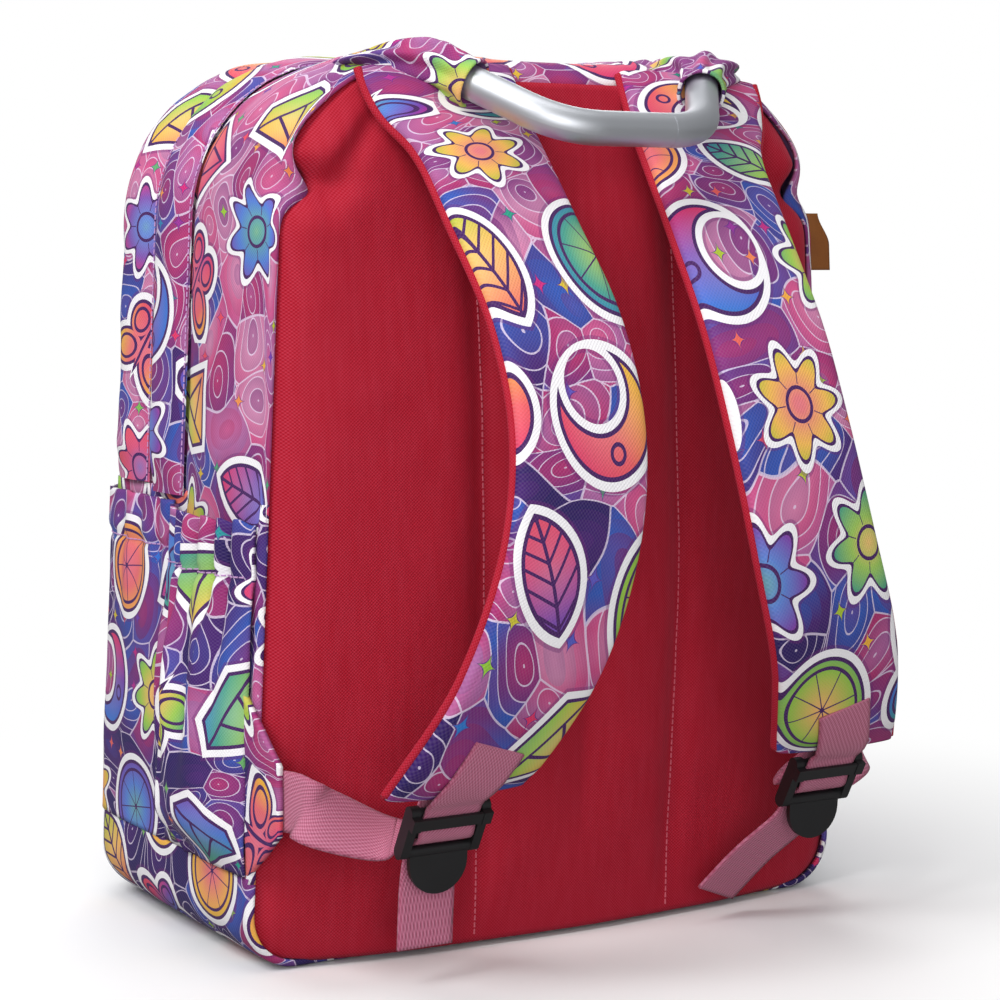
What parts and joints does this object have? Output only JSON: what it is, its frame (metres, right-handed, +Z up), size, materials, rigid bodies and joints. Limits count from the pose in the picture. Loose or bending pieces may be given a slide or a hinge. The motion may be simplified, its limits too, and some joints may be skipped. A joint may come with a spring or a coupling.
{
  "type": "school backpack",
  "caption": "Soft school backpack with zipped compartments that fold open, padded shoulder straps with ladder-lock adjusters, elastic side pockets and a metal tube carry handle.",
  "frame": {"origin": "point on the flat underside of the bag, midway across its width and under the main compartment's middle", "axes": "+Z up, shoulder straps towards -Y, +X to the right of a viewer who faces the straps"},
  "size_m": [0.376, 0.3336, 0.425],
  "materials": {
    "printed_cloth": "printed woven polyester",
    "coral_cloth": "woven polyester",
    "foam": "soft foam padding",
    "lining": "thin woven lining",
    "zip_tape": "woven zip tape with moulded teeth",
    "elastic": "knitted elastic",
    "pink_webbing": "ribbed woven webbing",
    "tan_tab": "smooth leather look",
    "handle_metal": "satin",
    "zip_metal": "satin nickel look",
    "black_plastic": "moulded acetal"
  },
  "bodies": {
    "bag": {"back_cover": "coral_cloth", "back_foam": "foam", "back_lining": "lining", "base_panel": "printed_cloth", "lower_side_left": "printed_cloth", "lower_side_right": "printed_cloth", "rear_side_left": "printed_cloth", "rear_side_right": "printed_cloth", "rear_top": "printed_cloth", "main_rain_flap": "printed_cloth", "main_zip_rear_chain": "zip_tape", "front_lower_panel": "printed_cloth", "front_pocket": "printed_cloth", "front_wrap_left": "printed_cloth", "front_wrap_right": "printed_cloth", "divider_lower": "lining", "side_pocket_left": "printed_cloth", "side_pocket_right": "printed_cloth", "pocket_elastic_left": "elastic", "pocket_elastic_right": "elastic", "strap_gusset_left": "printed_cloth", "strap_gusset_right": "printed_cloth", "anchor_webbing_left": "pink_webbing", "anchor_webbing_right": "pink_webbing", "seam_tab": "tan_tab"},
    "handle": {"handle_tube": "handle_metal", "handle_plugs": "black_plastic", "handle_sleeve_left": "printed_cloth", "handle_sleeve_right": "printed_cloth"},
    "main_front": {"divider_upper": "lining", "mid_side_left": "printed_cloth", "mid_side_right": "printed_cloth", "mid_top": "printed_cloth", "main_zip_front_chain": "zip_tape", "front_rain_flap": "printed_cloth", "front_zip_rear_chain": "zip_tape"},
    "outer_front": {"front_upper_panel": "printed_cloth", "front_side_left": "printed_cloth", "front_side_right": "printed_cloth", "front_top": "printed_cloth", "front_zip_front_chain": "zip_tape"},
    "main_slider": {"main_zip_slider": "zip_metal"},
    "main_pull": {"main_zip_pull": "zip_metal"},
    "front_slider": {"front_zip_slider": "zip_metal"},
    "front_pull": {"front_zip_pull": "zip_metal"},
    "strap_left": {"strap_cover_left": "printed_cloth", "strap_foam_left": "foam", "strap_lining_left": "coral_cloth", "strap_binding_left": "coral_cloth", "buckle_loop_left": "pink_webbing"},
    "strap_right": {"strap_cover_right": "printed_cloth", "strap_foam_right": "foam", "strap_lining_right": "coral_cloth", "strap_binding_right": "coral_cloth", "buckle_loop_right": "pink_webbing"},
    "buckle_left": {"ladder_lock_left": "black_plastic", "webbing_left": "pink_webbing"},
    "buckle_right": {"ladder_lock_right": "black_plastic", "webbing_right": "pink_webbing"}
  },
  "joints": [
    {"name": "handle_swing", "type": "hinge", "parent": "bag", "child": "handle", "pos_m": [0, -0.1043, 0.414], "axis": [-1, 0, 0], "range_deg": [0, 100]},
    {"name": "main_opening", "type": "hinge", "parent": "bag", "child": "main_front", "pos_m": [0, 0.107, 0.2155], "axis": [-1, 0, 0], "range_deg": [0, 40]},
    {"name": "front_opening", "type": "hinge", "parent": "main_front", "child": "outer_front", "pos_m": [0, 0.107, 0.2155], "axis": [-1, 0, 0], "range_deg": [0, 45]},
    {"name": "main_slider_run", "type": "slide", "parent": "bag", "child": "main_slider", "axis": [-0.05, 0, 0.9987], "range_m": [-0.085, 0.02]},
    {"name": "main_pull_swing", "type": "hinge", "parent": "main_slider", "child": "main_pull", "pos_m": [0.15665, 0.03, 0.31516], "axis": [0, -1, 0], "range_deg": [0, 150]},
    {"name": "front_slider_run", "type": "slide", "parent": "main_front", "child": "front_slider", "axis": [-0.05, 0, 0.9987], "range_m": [-0.085, 0.02]},
    {"name": "front_pull_swing", "type": "hinge", "parent": "front_slider", "child": "front_pull", "pos_m": [0.15665, 0.072, 0.31516], "axis": [0, -1, 0], "range_deg": [0, 150]},
    {"name": "strap_left_lift", "type": "hinge", "parent": "bag", "child": "strap_left", "pos_m": [-0.063, -0.102, 0.398], "axis": [-1, 0, 0], "range_deg": [0, 10], "deforming": ["anchor_webbing_left"]},
    {"name": "buckle_left_tilt", "type": "hinge", "parent": "strap_left", "child": "buckle_left", "pos_m": [-0.105, -0.1667, 0.08536], "axis": [-1, 0, 0], "range_deg": [-6, 15]},
    {"name": "strap_right_lift", "type": "hinge", "parent": "bag", "child": "strap_right", "pos_m": [0.063, -0.102, 0.398], "axis": [-1, 0, 0], "range_deg": [0, 10], "deforming": ["anchor_webbing_right"]},
    {"name": "buckle_right_tilt", "type": "hinge", "parent": "strap_right", "child": "buckle_right", "pos_m": [0.105, -0.1667, 0.08536], "axis": [-1, 0, 0], "range_deg": [-6, 15]}
  ]
}
